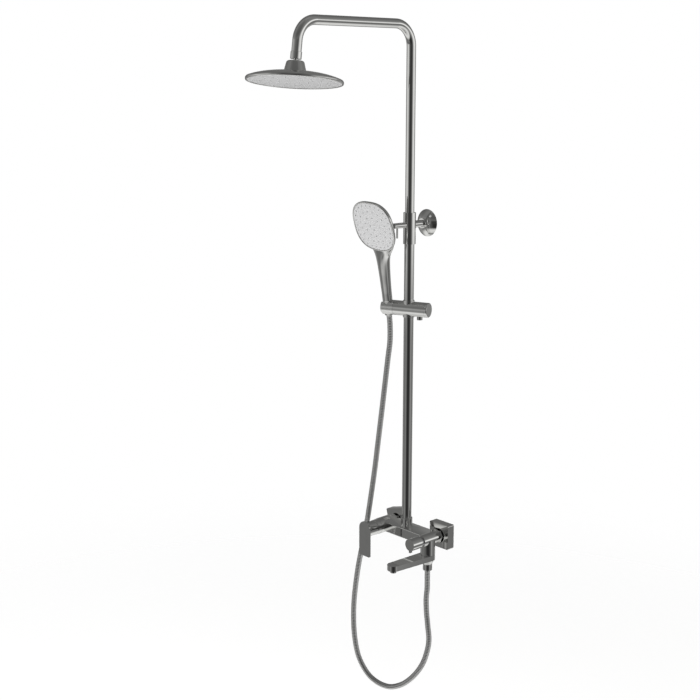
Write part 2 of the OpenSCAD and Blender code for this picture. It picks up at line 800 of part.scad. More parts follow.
module head_shell() color(chrome) at_head() translate([0, 0, -face_drop]) {
    radii = [for (i = [0 : 18]) lerp(head_inlet_r, head_r, i / 18)];
    inner = [for (r = radii) if (r < head_r - head_wall) [r, max(dome_height(r) - head_wall,
        head_face_top)]];
    rotate_extrude($fn = 96) polygon(concat(
        [for (r = radii) [r, dome_height(r)]],
        [[head_r, -rim_drop / 2], [head_r - rim_drop / 2, -rim_drop],
         [head_r - head_wall, -rim_drop], [head_r - head_wall, head_face_top]],
        [for (i = [len(inner) - 1 : -1 : 0]) inner[i]]));
}

module head_face() color("gainsboro") at_head() translate([0, 0, -face_drop]) {
    edge = head_r - head_wall;
    rotate_extrude($fn = 96) polygon(concat([[0, head_face_top], [edge, head_face_top]],
        [for (i = [12 : -1 : 0]) let (r = edge * i / 12)
            [r, -rim_drop - face_sag * (1 - pow(r / edge, 2))]]));
}

module head_mat() color(grey) at_head() translate([0, 0, head_face_top - face_drop])
    cylinder(r = head_r - 12, h = mat_t);

// ---- slider and holder ----

module at_slider() translate([0, -riser_out, slider_z]) rotate([0, 0, slider_turn]) children();

// A round bar along the slider, between two distances to the right of the riser.
module slider_bar(r, from, to)
    translate([from, 0, 0]) rotate([0, 90, 0]) cylinder(r = r, h = to - from);

module slider_bush() color("dimgray") translate([0, -riser_out, slider_z]) difference() {
    translate([0, 0, -slider_bush_h / 2]) cylinder(r = bush_r, h = slider_bush_h);
    translate([0, 0, -slider_bush_h]) cylinder(r = lower_pipe_r + run_gap, h = 2 * slider_bush_h);
}

module slider_body() color(chrome) at_slider() difference() {
    union() {
        slider_bar(slider_r, -cradle_edge, slider_right - cap_len);
        slider_bar(hinge_r, -cradle_edge - hinge_len, -cradle_edge + 1);
    }
    translate([0, 0, -slider_r - 1]) cylinder(r = bush_r + run_gap, h = 2 * slider_r + 2);
    translate([button_s, 0, -slider_r - 1]) {
        cylinder(r = button_r + free_gap, h = slider_r + 1 + button_pocket_top);
        cylinder(r = button_spring_r + free_gap, h = slider_r + 1 + spring_seat);
        cylinder(r = button_stem_r + run_gap, h = slider_r + 1 + stem_bore_top);
    }
}

module slider_cap() color(chrome) at_slider() {
    slider_bar(slider_r, slider_right - cap_len, slider_right - 1.5);
    translate([slider_right - 1.5, 0, 0]) rotate([0, 90, 0])
        cylinder(r1 = slider_r, r2 = slider_r - 1.5, h = 1.5);
}

module slider_button() color(grey) at_slider() translate([button_s, 0, 0]) {
    translate([0, 0, button_bottom]) cylinder(r = button_r, h = button_h);
    translate([0, 0, button_top - 1])
        cylinder(r = button_stem_r, h = button_stem_top - button_top + 1);
}

module button_spring() color(grey) at_slider() translate([button_s, 0, button_top])
    difference() {
        cylinder(r = button_spring_r, h = spring_len);
        translate([0, 0, -1]) cylinder(r = button_spring_r - button_spring_wall, h = spring_len + 2);
    }

module at_holder() at_slider() translate([-cradle_s, 0, 0]) rotate([holder_tilt, 0, 0]) children();

module holder_cradle() color("gainsboro") difference() {
    at_slider() {
        slider_bar(slider_r, -slider_left + 2, -cradle_edge - free_gap);
        translate([-slider_left, 0, 0]) rotate([0, 90, 0])
            cylinder(r1 = slider_r - 2, r2 = slider_r, h = 2);
    }
    at_slider() slider_bar(hinge_r + run_gap, -cradle_edge - hinge_len - free_gap, -cradle_edge);
    at_holder() {
        slope = (cone_top_r - cone_bottom_r) / (cone_top - cone_bottom);
        reach = slider_r + 6;
        translate([0, 0, -reach]) cylinder(h = 2 * reach,
            r1 = cone_bottom_r + free_gap + slope * (-reach - cone_bottom),
            r2 = cone_bottom_r + free_gap + slope * (reach - cone_bottom));
        translate([-slider_left, -slot_w / 2, -reach]) cube([slider_left, slot_w, 2 * reach]);
    }
}

// ---- handset ----

module at_handset() at_holder() rotate([0, 0, handset_turn]) children();

module hose_nut_handset() color(chrome) at_handset() difference() {
    translate([0, 0, cone_bottom])
        cylinder(r1 = cone_bottom_r, r2 = cone_top_r, h = cone_top - cone_bottom);
    translate([0, 0, cone_top - 12]) cylinder(r = spigot_handset_r, h = 13);
    translate([0, 0, cone_bottom - 1]) cylinder(r = 5, h = cone_top - cone_bottom);
}

module at_face() translate([0, -face_out, face_up]) rotate([90 + face_lean, 0, 0]) children();

// A flat rounded-square plate behind the face, between two depths.
module face_plate(inset, from, to, scale_by = 1)
    translate([0, 0, -to]) linear_extrude(to - from) polygon(rounded_square(
        (face_half_w - inset) * scale_by, (face_half_h - inset) * scale_by, face_power));

// The handset's outer form, or its inside when shrunk by a wall.
module handset_form(wall) {
    hull() at_face() {
        face_plate(wall, wall > 0 ? face_t : 0, shell_edge - wall);
        face_plate(wall, shell_edge, shell_depth - wall, 0.62);
    }
    hull() {
        at_face() translate([0, -face_half_h * 0.42, wall - shell_depth])
            cylinder(r = face_half_w * 0.42 - wall, h = shell_depth - shell_edge, $fn = 32);
        translate([0, 0, handle_top]) cylinder(r = handle_top_r - wall, h = 1, $fn = 32);
    }
    hull() for (end = [[handle_bottom_r, cone_top + wall], [handle_top_r, handle_top - 0.01]])
        translate([0, 0, end[1]]) cylinder(r = end[0] - wall, h = 0.01, $fn = 32);
}

module handset_shell() color(chrome) at_handset() difference() {
    union() {
        handset_form(0);
        translate([0, 0, cone_top - 11]) cylinder(r = spigot_handset_r, h = 12);
    }
    handset_form(shell_wall);
    at_face() face_plate(face_rim, 0, face_t + 0.01);
    translate([0, 0, cone_top - 12]) cylinder(r = 6, h = 20);
}

module handset_face() color("gainsboro") at_handset() at_face() face_plate(face_rim, 0, face_t);

module handset_mat() color(grey) at_handset() at_face()
    face_plate(face_rim + 3, face_t, face_t + mat_t);

mixer_body();
wall_union(-inlet_x);  // union_left
wall_union(inlet_x);  // union_right
union_nut(-inlet_x);  // union_nut_left
union_nut(inlet_x);  // union_nut_right
rosette(-inlet_x, -rosette_turn);  // rosette_left
rosette(inlet_x, 0);  // rosette_right
inlet_washers();
cartridge();
cartridge_nut();
cartridge_cover();
diverter_cartridge();
diverter_gland();
swivel_post();
hose_outlet();
hose_nut_mixer();
hose();
riser_nut();
riser_seal();
lower_pipe();
sleeve();
sleeve_seal();
bracket_stem();
wall_flange();
wall_plate();
flange_screw();
mixing_disc();
stem_pin();
lever_stem();
lever();
lever_screw();
lever_plug();
diverter_knob();
diverter_spindle();
spout();
spout_seals();
aerator_housing();
aerator_insert();
guide_bush();
shower_arm();
arm_elbow();
arm_nut();
ball_stud();
ball_seat();
head_bell();
head_shell();
head_face();
head_mat();
clamp_screw();
clamp_bar();
slider_bush();
slider_body();
slider_cap();
button_spring();
slider_button();
holder_cradle();
hose_nut_handset();
handset_shell();
handset_face();
handset_mat();
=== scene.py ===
"""Looks of a rainfall shower column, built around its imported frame.

Blender works in metres. The tables below are in millimetres, unless a line says otherwise,
and in degrees.
"""
import json
import math

import bmesh
import bpy
from mathutils import Matrix, Vector

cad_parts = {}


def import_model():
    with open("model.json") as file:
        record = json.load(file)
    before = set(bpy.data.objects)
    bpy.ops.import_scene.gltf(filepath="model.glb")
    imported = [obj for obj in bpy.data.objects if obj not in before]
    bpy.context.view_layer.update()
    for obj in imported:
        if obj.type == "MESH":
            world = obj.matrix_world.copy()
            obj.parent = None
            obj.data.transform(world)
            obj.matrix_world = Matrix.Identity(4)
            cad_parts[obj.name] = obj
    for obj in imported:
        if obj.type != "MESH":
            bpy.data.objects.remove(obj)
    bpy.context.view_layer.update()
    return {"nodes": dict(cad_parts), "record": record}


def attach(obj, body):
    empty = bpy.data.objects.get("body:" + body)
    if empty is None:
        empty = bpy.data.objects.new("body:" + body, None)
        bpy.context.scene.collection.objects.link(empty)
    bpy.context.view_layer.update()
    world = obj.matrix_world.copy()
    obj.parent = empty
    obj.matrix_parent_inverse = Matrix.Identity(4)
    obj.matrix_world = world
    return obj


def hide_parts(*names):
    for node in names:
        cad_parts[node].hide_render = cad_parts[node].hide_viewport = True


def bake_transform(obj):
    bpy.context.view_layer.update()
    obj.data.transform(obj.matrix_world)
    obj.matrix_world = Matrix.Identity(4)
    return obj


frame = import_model()
NODES = frame["nodes"]
MM = 0.001
BUMP_DEPTH = 0.0002     # metres, for the fine bump of every finish


def mm(*v):
    return Vector(v) * MM


# ---- camera ----

AZ, PITCH = math.radians(47.72), math.radians(12.09)
BACK = Vector((math.sin(AZ) * math.cos(PITCH), -math.cos(AZ) * math.cos(PITCH),
               math.sin(PITCH)))    # from the object towards the camera
cam_data = bpy.data.cameras.new("camera")
cam_data.lens, cam_data.sensor_width = 63.57, 36
cam_data.clip_start, cam_data.clip_end = 0.05, 60
camera = bpy.data.objects.new("camera", cam_data)
bpy.context.collection.objects.link(camera)
camera.location = (2.084, -2.147, 1.097)
camera.rotation_mode = "QUATERNION"
camera.rotation_quaternion = (-BACK).to_track_quat("-Z", "Y")
bpy.context.scene.camera = camera


# ---- node materials ----

def new_material(name):
    m = bpy.data.materials.new(name)
    m.use_nodes = True
    return m, m.node_tree.nodes, m.node_tree.links, m.node_tree.nodes["Principled BSDF"]


def noise_node(nodes, links, scale, detail=2.0, stretch=(1, 1, 1)):
    coord = nodes.new("ShaderNodeTexCoord")
    mapping = nodes.new("ShaderNodeMapping")
    mapping.inputs["Scale"].default_value = stretch
    noise = nodes.new("ShaderNodeTexNoise")
    noise.inputs["Scale"].default_value = scale
    noise.inputs["Detail"].default_value = detail
    links.new(coord.outputs["Object"], mapping.inputs["Vector"])
    links.new(mapping.outputs["Vector"], noise.inputs["Vector"])
    return noise


def surface(name, color, metallic, rough, spread=0.0, grain=900.0, bump=0.0, bump_scale=400.0,
            stretch=(1, 1, 1), tint=None, coat=0.0):
    """A finish with a second colour, a roughness that varies by spread, and a fine bump."""
    m, nodes, links, bsdf = new_material(name)
    bsdf.inputs["Base Color"].default_value = (*color, 1)
    bsdf.inputs["Metallic"].default_value = metallic
    bsdf.inputs["Roughness"].default_value = rough
    bsdf.inputs["Coat Weight"].default_value = coat
    noise = noise_node(nodes, links, grain, 3.0, stretch)
    if spread:
        span = nodes.new("ShaderNodeMapRange")
        span.inputs["To Min"].default_value = max(0.01, rough - spread)
        span.inputs["To Max"].default_value = rough + spread
        links.new(noise.outputs["Fac"], span.inputs["Value"])
        links.new(span.outputs["Result"], bsdf.inputs["Roughness"])
    if tint:
        ramp = nodes.new("ShaderNodeValToRGB")
        ramp.color_ramp.elements[0].position, ramp.color_ramp.elements[1].position = 0.35, 0.65
        ramp.color_ramp.elements[0].color = (*tint, 1)
        ramp.color_ramp.elements[1].color = (*color, 1)
        links.new(noise.outputs["Fac"], ramp.inputs["Fac"])
        links.new(ramp.outputs["Color"], bsdf.inputs["Base Color"])
    if bump:
        fine = noise_node(nodes, links, bump_scale, 2.0, stretch)
        b = nodes.new("ShaderNodeBump")
        b.inputs["Strength"].default_value = bump
        b.inputs["Distance"].default_value = BUMP_DEPTH
        links.new(fine.outputs["Fac"], b.inputs["Height"])
        links.new(b.outputs["Normal"], bsdf.inputs["Normal"])
    return m


CHROME = surface("polished_chrome", (0.80, 0.80, 0.79), 1.0, 0.045, 0.02, 60, 0.02, 30,
                 tint=(0.77, 0.77, 0.76))
SATIN = surface("satin_chrome", (0.86, 0.86, 0.85), 1.0, 0.24, 0.05, 700, 0.05, 1200)
STEEL = surface("brushed_steel", (0.55, 0.55, 0.56), 1.0, 0.32, 0.08, 500, 0.1, 900, (1, 1, 12))
BRASS = surface("machined_brass", (0.70, 0.52, 0.24), 1.0, 0.25, 0.07, 400, 0.08, 700,
                tint=(0.60, 0.44, 0.20))
WHITE = surface("white_plastic", (0.80, 0.80, 0.77), 0.0, 0.42, 0.06, 900, 0.06, 1500,
                tint=(0.76, 0.76, 0.73))
DARK = surface("dark_plastic", (0.03, 0.03, 0.032), 0.0, 0.45, 0.08, 900, 0.08, 1500,
               tint=(0.024, 0.024, 0.026))
RED = surface("red_plastic", (0.45, 0.02, 0.02), 0.0, 0.3, 0.05, 600, 0.05, 900, coat=0.3,
              tint=(0.38, 0.015, 0.015))
RUBBER = surface("black_rubber", (0.018, 0.018, 0.018), 0.0, 0.6, 0.1, 900, 0.15, 1200,
                 tint=(0.012, 0.012, 0.012))
SPRAY = surface("spray_grey", (0.74, 0.74, 0.745), 0.0, 0.38, 0.06, 300, 0.05, 900,
                tint=(0.70, 0.70, 0.705), coat=0.15)
SILICONE = surface("silicone", (0.62, 0.62, 0.625), 0.0, 0.5, 0.08, 700, 0.1, 1500,
                   tint=(0.56, 0.56, 0.565))
# painted shade: a near-black colour that stands in for the shade inside each nozzle hole
HOLE_SHADE = surface("nozzle_hole_painted_shade", (0.01, 0.01, 0.01), 0.0, 0.7, 0.1, 700, 0.1, 1500,
               tint=(0.006, 0.006, 0.006))
HOSE = surface("metal_hose", (0.72, 0.72, 0.72), 1.0, 0.1, 0.06, 500, 0.06, 900,
               tint=(0.58, 0.58, 0.58))
BY_SLOT = {"polished_chrome": CHROME, "satin_chrome": SATIN, "steel": STEEL, "brass": BRASS,
           "white_plastic": WHITE, "dark_plastic": DARK, "red_plastic": RED,
           "black_rubber": RUBBER, "spray_grey": SPRAY, "silicone": SILICONE,
           "metal_hose": HOSE}


# ---- mesh helpers ----

def piece(name, verts, faces, material, body, smooth=True, slot=None):
    """A new object of one material, which rides on a body unless that is None."""
    mesh = bpy.data.meshes.new(name)
    mesh.from_pydata([tuple(v) for v in verts], [], faces)
    mesh.validate()
    obj = bpy.data.objects.new(name, mesh)
    bpy.context.collection.objects.link(obj)
    mesh.materials.append(material)
    for p in mesh.polygons:
        p.use_smooth = smooth
    if body:
        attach(obj, body)
    return obj


def grid(rings, cap=(False, False)):
    """Vertices and faces of closed rings of equal length, joined one to the next."""
    n = len(rings[0])
    verts = [p for ring in rings for p in ring]
    faces = []
    rows = len(rings)
    for i in range(rows - 1):
        for k in range(n):
            j = (k + 1) % n
            faces.append((i * n + k, i * n + j, (i + 1) * n + j, (i + 1) * n + k))
    if cap[0]:
        faces.append(tuple(range(n - 1, -1, -1)))
    if cap[1]:
        faces.append(tuple((rows - 1) * n + k for k in range(n)))
    return verts, faces


def lathe(profile, n=128):
    """A surface of n sides turned about local Z, from (radius, height) pairs."""
    rings = []
    for r, z in profile:
        rings.append([mm(r * math.cos(2 * math.pi * k / n), r * math.sin(2 * math.pi * k / n), z)
                      for k in range(n)])
    return grid(rings)


def merge(parts):
    """Several (vertices, faces) pairs as one."""
    verts, faces = [], []
    for v, f in parts:
        base = len(verts)
        verts += v
        faces += [tuple(base + i for i in q) for q in f]
    return verts, faces


def moved(part, matrix):
    return [matrix @ v for v in part[0]], part[1]


def arc(points, radius, steps=4):
    """A polyline with its inner corners rounded, each corner by the same radius at most."""
    out = [points[0]]
    for a, b, c in zip(points, points[1:], points[2:]):
        a, b, c = Vector(a), Vector(b), Vector(c)
        u, v = (a - b), (c - b)
        d = min(radius, u.length * 0.45, v.length * 0.45)
        p, q = b + u.normalized() * d, b + v.normalized() * d
        for i in range(steps + 1):
            t = i / steps
            out.append(tuple((1 - t) ** 2 * p + 2 * t * (1 - t) * b + t * t * q))
    out.append(points[-1])
    return out


def catmull_rom(a, b, c, d, t):
    """A value between b and c on a smooth curve, for numbers and vectors alike."""
    return 0.5 * (2 * b + (c - a) * t + (2 * a - 5 * b + 4 * c - d) * t * t
                  + (3 * b - a - 3 * c + d) * t ** 3)


def about(points, i):
    """The four points about the span from i to i + 1, with the end points repeated."""
    return [points[max(0, min(len(points) - 1, i + k))] for k in (-1, 0, 1, 2)]


def weld(obj, dist=1e-6):
    """Join doubled points and turn the faces outwards."""
    bm = bmesh.new()
    bm.from_mesh(obj.data)
    bmesh.ops.remove_doubles(bm, verts=bm.verts, dist=dist)
    bmesh.ops.dissolve_degenerate(bm, dist=1e-7, edges=bm.edges)
    bmesh.ops.recalc_face_normals(bm, faces=bm.faces)
    bm.to_mesh(obj.data)
    bm.free()


def sharpen(obj, degrees):
    """Smooth shading, with edges sharper than this kept as edges."""
    bm = bmesh.new()
    bm.from_mesh(obj.data)
    limit = math.radians(degrees)
    for e in bm.edges:
        e.smooth = not (len(e.link_faces) == 2 and e.calc_face_angle(0) > limit)
    for f in bm.faces:
        f.smooth = True
    bm.to_mesh(obj.data)
    bm.free()


ROUND_STEPS = 3
HARD_EDGE = 30          # degrees between faces, from where an edge is rounded
FLAT = 0.6              # degrees between faces, up to where they become one
JOIN = 2e-6             # metres between points that become one


def refined(node, body, width, slot="polished_chrome"):
    """A copy of a CAD node's mesh with its hard edges rounded, to replace the node."""
    source = NODES[node]
    obj = source.copy()
    obj.data = source.data.copy()
    for key in list(obj.keys()):
        del obj[key]
    obj.parent = None
    obj.name = node + "_finish"
    obj.data.name = obj.name
    bpy.context.collection.objects.link(obj)
    bm = bmesh.new()
    bm.from_mesh(obj.data)
    bmesh.ops.remove_doubles(bm, verts=bm.verts, dist=JOIN)
    bmesh.ops.dissolve_limit(bm, angle_limit=math.radians(FLAT), verts=bm.verts,
                             edges=bm.edges, delimit={"NORMAL"})
    bm.to_mesh(obj.data)
    bm.free()
    if obj.data.has_custom_normals:
        bpy.context.view_layer.objects.active = obj
        with bpy.context.temp_override(object=obj, active_object=obj, selected_objects=[obj]):
            bpy.ops.mesh.customdata_custom_splitnormals_clear()
    obj.data.materials.clear()
    obj.data.materials.append(BY_SLOT[slot])
    mod = obj.modifiers.new("round", "BEVEL")
    mod.width, mod.segments, mod.limit_method = width * MM, ROUND_STEPS, "ANGLE"
    mod.angle_limit, mod.harden_normals = math.radians(HARD_EDGE), True
    mod.use_clamp_overlap = True
    for p in obj.data.polygons:
        p.use_smooth = True
    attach(obj, body)
    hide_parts(node)
    return obj


# ---- frames that repeat the CAD's placing ----

AT_BALL = Matrix.Translation(mm(0, -410, 1141)) @ Matrix.Rotation(math.radians(-7.3), 4, "X")
AT_HEAD = AT_BALL @ Matrix.Rotation(math.radians(-3.7), 4, "Y")
AT_HEAD_FACE = AT_HEAD @ Matrix.Translation(mm(0, 0, -36.5))
AT_SLIDER = Matrix.Translation(mm(0, -60, 568.5)) @ Matrix.Rotation(math.radians(19.8), 4, "Z")
AT_HANDSET = (AT_SLIDER @ Matrix.Translation(mm(-55, 0, 0))
              @ Matrix.Rotation(math.radians(14), 4, "X")
              @ Matrix.Rotation(math.radians(-14), 4, "Z"))
AT_FACE = (AT_HANDSET @ Matrix.Translation(mm(0, -23, 213.5))
           @ Matrix.Rotation(math.radians(98.6), 4, "X"))


# ---- hose ----

ROUTE = [(-53.6, -73.8, 548), (-54.5, -71.5, 539), (-54, -70, 520), (-54, -70, 480),
         (-59, -72, 435), (-65, -77, 362), (-71, -82, 290), (-78, -86, 220),
         (-85, -90, 150), (-94, -94, 80), (-104, -98, 10), (-117, -103, -60),
         (-129, -108, -131), (-138, -111, -205), (-140, -112, -263), (-135, -112, -320),
         (-121, -110, -370), (-90, -107, -406), (-55, -104, -419), (-18, -100, -418),
         (14, -96, -404), (40, -92, -384), (64, -86, -356), (82, -80, -324),
         (92, -75, -289), (94, -71, -258), (87, -68, -227), (78, -64, -194),
         (74, -62, -160), (75, -60, -130), (75, -60, -105), (75, -60, -80)]
HOSE_R = 6.9
HOSE_STEP, HOSE_SIDES = 0.64, 20
STRIP = 4.1             # pitch of the wound strip
GROOVE, GROOVE_HALF = 0.85, 0.2     # depth, and half width as a share of the pitch
CROWN = 0.1             # how far the strip bulges between its grooves


def smooth_route(step):
    """Points every step mm along the curve through the route, mixer end first."""
    pts = [mm(*p) for p in reversed(ROUTE)]
    dense = []
    for i in range(len(pts) - 1):
        for k in range(40):
            dense.append(catmull_rom(*about(pts, i), k / 40))
    dense.append(pts[-1])
    out, run, left = [dense[0]], 0.0, step * MM
    for p, q in zip(dense, dense[1:]):
        seg = (q - p).length
        while seg - run >= left:
            run += left
            out.append(p.lerp(q, run / seg))
            left = step * MM
        left -= seg - run
        run = 0.0
    if (out[-1] - dense[-1]).length > step * MM * 0.3:
        out.append(dense[-1])
    return out


def hose_piece():
    """A tube with a spiral groove, which follows the route."""
    centres = smooth_route(HOSE_STEP)
    up = Vector((0, 1, 0))
    rings, length = [], 0.0
    for i, c in enumerate(centres):
        tangent = (centres[min(len(centres) - 1, i + 1)] - centres[max(0, i - 1)]).normalized()
        up = (up - tangent * up.dot(tangent)).normalized()
        side = tangent.cross(up)
        if i:
            length += (c - centres[i - 1]).length / MM
        ring = []
        for k in range(HOSE_SIDES):
            a = 2 * math.pi * k / HOSE_SIDES
            phase = (length / STRIP - k / HOSE_SIDES) % 1.0
            groove = max(0.0, 1.0 - abs(phase - 0.5) / GROOVE_HALF)
            crown = CROWN * math.cos(2 * math.pi * phase)
            r = HOSE_R - CROWN + crown - GROOVE * groove
            ring.append(c + (side * math.cos(a) + up * math.sin(a)) * r * MM)
        rings.append(ring)
    verts, faces = grid(rings, cap=(True, True))
    hose = piece("hose_strip", verts, faces, HOSE, None, slot="metal_hose")
    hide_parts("hose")
    return hose


hose = hose_piece()
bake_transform(hose)


# ---- rain head ----

def head_pieces():
    profile = [(9, 18), (25, 18)]
    for i in range(1, 25):
        t = i / 24
        profile.append((25 + 79.3 * t, 5.4 + 12.6 * (1 - t ** 2.5)))
    profile += arc(
        [(104.3, 5.4, 0), (105.8, 3.6, 0), (106.1, 0.6, 0), (105.6, -1.6, 0), (104.2, -2.4, 0),
         (103.2, -2.0, 0), (102.9, -0.8, 0)], 0.6)[1:] + [(102.6, 0.2, 0), (9, 0.2, 0)]
    profile = [(p[0], p[1]) for p in profile] + [(9, 18)]
    shell = piece("head_dome", *moved(lathe(profile, 192), AT_HEAD_FACE), CHROME, "head",
                  slot="polished_chrome")
    weld(shell)
    sharpen(shell, 35)
    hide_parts("head_shell")

    bell = [(7.6, 0), (7.8, 5.5), (9, 6.9)] + [p[:2] for p in arc(
        [(9, 7, 0), (16.6, 7, 0), (19.3, 5.0, 0), (25, -17.6, 0), (25, -18.5, 0), (7, -18.5, 0)],
        2.2, 5)] + [(7, -10.4), (7.6, 0)]
    cup = piece("head_bell_turned", *moved(lathe(bell, 96), AT_HEAD), CHROME, "head",
                slot="polished_chrome")
    weld(cup)
    sharpen(cup, 35)
    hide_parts("head_bell")

    face_r = 102.4

    def sag(r):
        return -1.0 - 3.3 * (1 - (r / face_r) ** 2)

    face = [(0.01, sag(0))] + [(face_r * i / 24, sag(face_r * i / 24)) for i in range(1, 24)]
    face += [(102.0, -0.9), (102.5, -0.4), (102.5, 0.1), (0.01, 0.1)]
    plate = piece("head_spray_face", *moved(lathe(face, 160), AT_HEAD_FACE), SPRAY, "head",
                  slot="spray_grey")
    weld(plate)
    sharpen(plate, 50)
    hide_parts("head_face")

    nubs, hole_shades = [], []
    for radius, count, turn in ((16, 5, 0), (36, 9, 15), (56, 13, 4), (75, 17, 9), (92, 21, 0)):
        for k in range(count):
            a = math.radians(360 * k / count + turn)
            at = AT_HEAD_FACE @ Matrix.Translation(mm(radius * math.cos(a), radius * math.sin(a),
                                                      sag(radius)))
            nubs.append(moved(lathe([(2.3, 0.4), (2.2, -0.1), (1.6, -0.35), (1.4, -1.0),
                                     (1.2, -1.2), (0.8, -1.2)], 14), at))
            # a near-black cone inside each nub's opening, painted shade for the hole
            hole_shades.append(moved(lathe([(0.9, -1.17), (0.01, -0.9)], 14), at))
    rubber = piece("head_nozzles", *merge(nubs), SILICONE, "head", slot="silicone")
    sharpen(rubber, 50)
    piece("head_nozzle_hole_shades", *merge(hole_shades), HOLE_SHADE, "head", slot="silicone")
    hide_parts("head_mat")


head_pieces()


# ---- handset ----

FACE_HALF_W, FACE_HALF_H, FACE_POWER = 60.0, 64.5, 2.6


def face_outline(scale, n=96):
    """The face's rounded square at a scale, n points of a superellipse."""
    out = []
    for i in range(n):
        t = 2 * math.pi * i / n
        c, s = math.cos(t), math.sin(t)
        out.append((FACE_HALF_W * scale * math.copysign(abs(c) ** (2 / FACE_POWER), c),
                    FACE_HALF_H * scale * math.copysign(abs(s) ** (2 / FACE_POWER), s)))
    return out


def square_rings(profile):
    """Rings in the face's own frame, from (scale, depth behind the face) pairs."""
    return [[mm(x, y, -depth) for x, y in face_outline(scale)] for scale, depth in profile]


def crown_depth(scale):
    """How far the spray face lies behind its frame's origin, at a scale of its outline."""
    return 0.6 - 1.1 * (1 - scale * scale / 0.865)


def handset_pieces():
    back = [(0.952, 1.6), (0.952, 0.5), (0.957, 0.05), (0.966, -0.2), (0.978, -0.2), (0.990, 0.2),
            (0.998, 1.1), (1.0, 2.4), (0.998, 4.0), (0.988, 6.2), (0.968, 8.4), (0.93, 10.8),
            (0.87, 13.4), (0.79, 15.9), (0.69, 18.1), (0.57, 19.9), (0.43, 21.2), (0.28, 21.9),
            (0.14, 22.0), (0.03, 22.0)]
    head = grid(square_rings([(0.03, 1.6)] + back))
    head = moved(head, AT_FACE)
    # the handle's sections: height, half width, half depth, and how far the middle lies back
    sections = [(16, 11.4, 11.4, 0), (16.6, 11.9, 11.9, 0), (18, 12.0, 12.0, 0),
                (38, 12.1, 12.2, 0), (62, 12.7, 12.9, 0), (86, 13.6, 13.8, 0.2),
                (105, 14.7, 14.8, 0.4), (119, 16.2, 15.4, 0.6), (130, 18.6, 15.6, 1.0),
                (138, 21.8, 15.4, 1.6), (145, 26.2, 14.6, 1.8), (151, 31.0, 13.6, 1.0),
                (158, 36.0, 12.6, -0.8), (168, 40.0, 11.6, -2.2), (180, 41.5, 10.6, -4.2),
                (197, 38.0, 9.4, -7.0), (215, 30.0, 7.6, -10.4), (231, 20.0, 5.4, -15.0),
                (241, 8.0, 3.0, -19.0)]
    dense = []
    for i in range(len(sections) - 1):
        a, b, c, d = about(sections, i)
        steps = max(1, round((c[0] - b[0]) / 3))
        for k in range(steps):
            t = k / steps
            dense.append(tuple(catmull_rom(p, q, r, s, t) if i > 2 else q + (r - q) * t
                               for p, q, r, s in zip(a, b, c, d)))
    dense.append(sections[-1])
    rings = [[mm(w * math.sin(2 * math.pi * k / 72), y - d * math.cos(2 * math.pi * k / 72), z)
              for k in range(72)] for z, w, d, y in dense]
    handle = moved(grid(rings, cap=(True, True)), AT_HANDSET)
    shell = piece("handset_chrome", *merge([head, handle]), CHROME, "handset",
                  slot="polished_chrome")
    weld(shell)
    sharpen(shell, 40)
    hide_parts("handset_shell")

    face = [(0.945, 2.2), (0.945, 1.0), (0.94, 0.72), (0.93, 0.6)]
    face += [(0.93 * (1 - i / 14), 0.6 - 1.1 * (1 - (1 - i / 14) ** 2)) for i in range(1, 14)]
    face += [(0.01, -0.5)]
    plate = piece("handset_spray_face", *moved(grid(square_rings(face), cap=(False, True)),
                                               AT_FACE), SPRAY, "handset", slot="spray_grey")
    weld(plate)
    sharpen(plate, 60)
    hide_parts("handset_face")
    # shallow steps moulded round the face, each a thin raised band
    bands = []
    for s in (0.24, 0.48, 0.72):
        lift = crown_depth(s)
        bands.append(grid(square_rings([(s - 0.018, lift + 0.05), (s - 0.008, lift - 0.22),
                                        (s + 0.008, lift - 0.22), (s + 0.018, lift + 0.05)])))
    piece("handset_face_bands", *moved(merge(bands), AT_FACE), SPRAY, "handset",
          slot="spray_grey")
    nubs, hole_shades = [], []
    len_outline = 720
    for s, count, turn in ((0.84, 26, 0.2), (0.60, 16, 0.5), (0.36, 9, 0.1), (0.12, 3, 0.4)):
        outline = face_outline(s, len_outline)
        lengths = [0.0]
        for p, q in zip(outline, outline[1:] + outline[:1]):
            lengths.append(lengths[-1] + math.dist(p, q))
        for k in range(count):
            want = lengths[-1] * ((k + turn) / count % 1.0)
            i = next(j for j in range(len_outline) if lengths[j + 1] >= want)
            x, y = outline[i]
            at = AT_FACE @ Matrix.Translation(mm(x, y, -crown_depth(s)))
            nubs.append(moved(lathe([(1.75, -0.3), (1.7, 0.1), (1.2, 0.35), (1.05, 1.15),
                                     (0.8, 1.4), (0.45, 1.4)], 14), at))
            # a near-black cone inside each nub's opening, painted shade for the hole
            hole_shades.append(moved(lathe([(0.5, 1.36), (0.01, 1.1)], 14), at))
    rubber = piece("handset_nozzles", *merge(nubs), SILICONE, "handset", slot="silicone")
    sharpen(rubber, 50)
    piece("handset_nozzle_hole_shades", *merge(hole_shades), HOLE_SHADE, "handset", slot="silicone")
    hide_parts("handset_mat")


handset_pieces()


# ---- CAD nodes with hard edges rounded ----

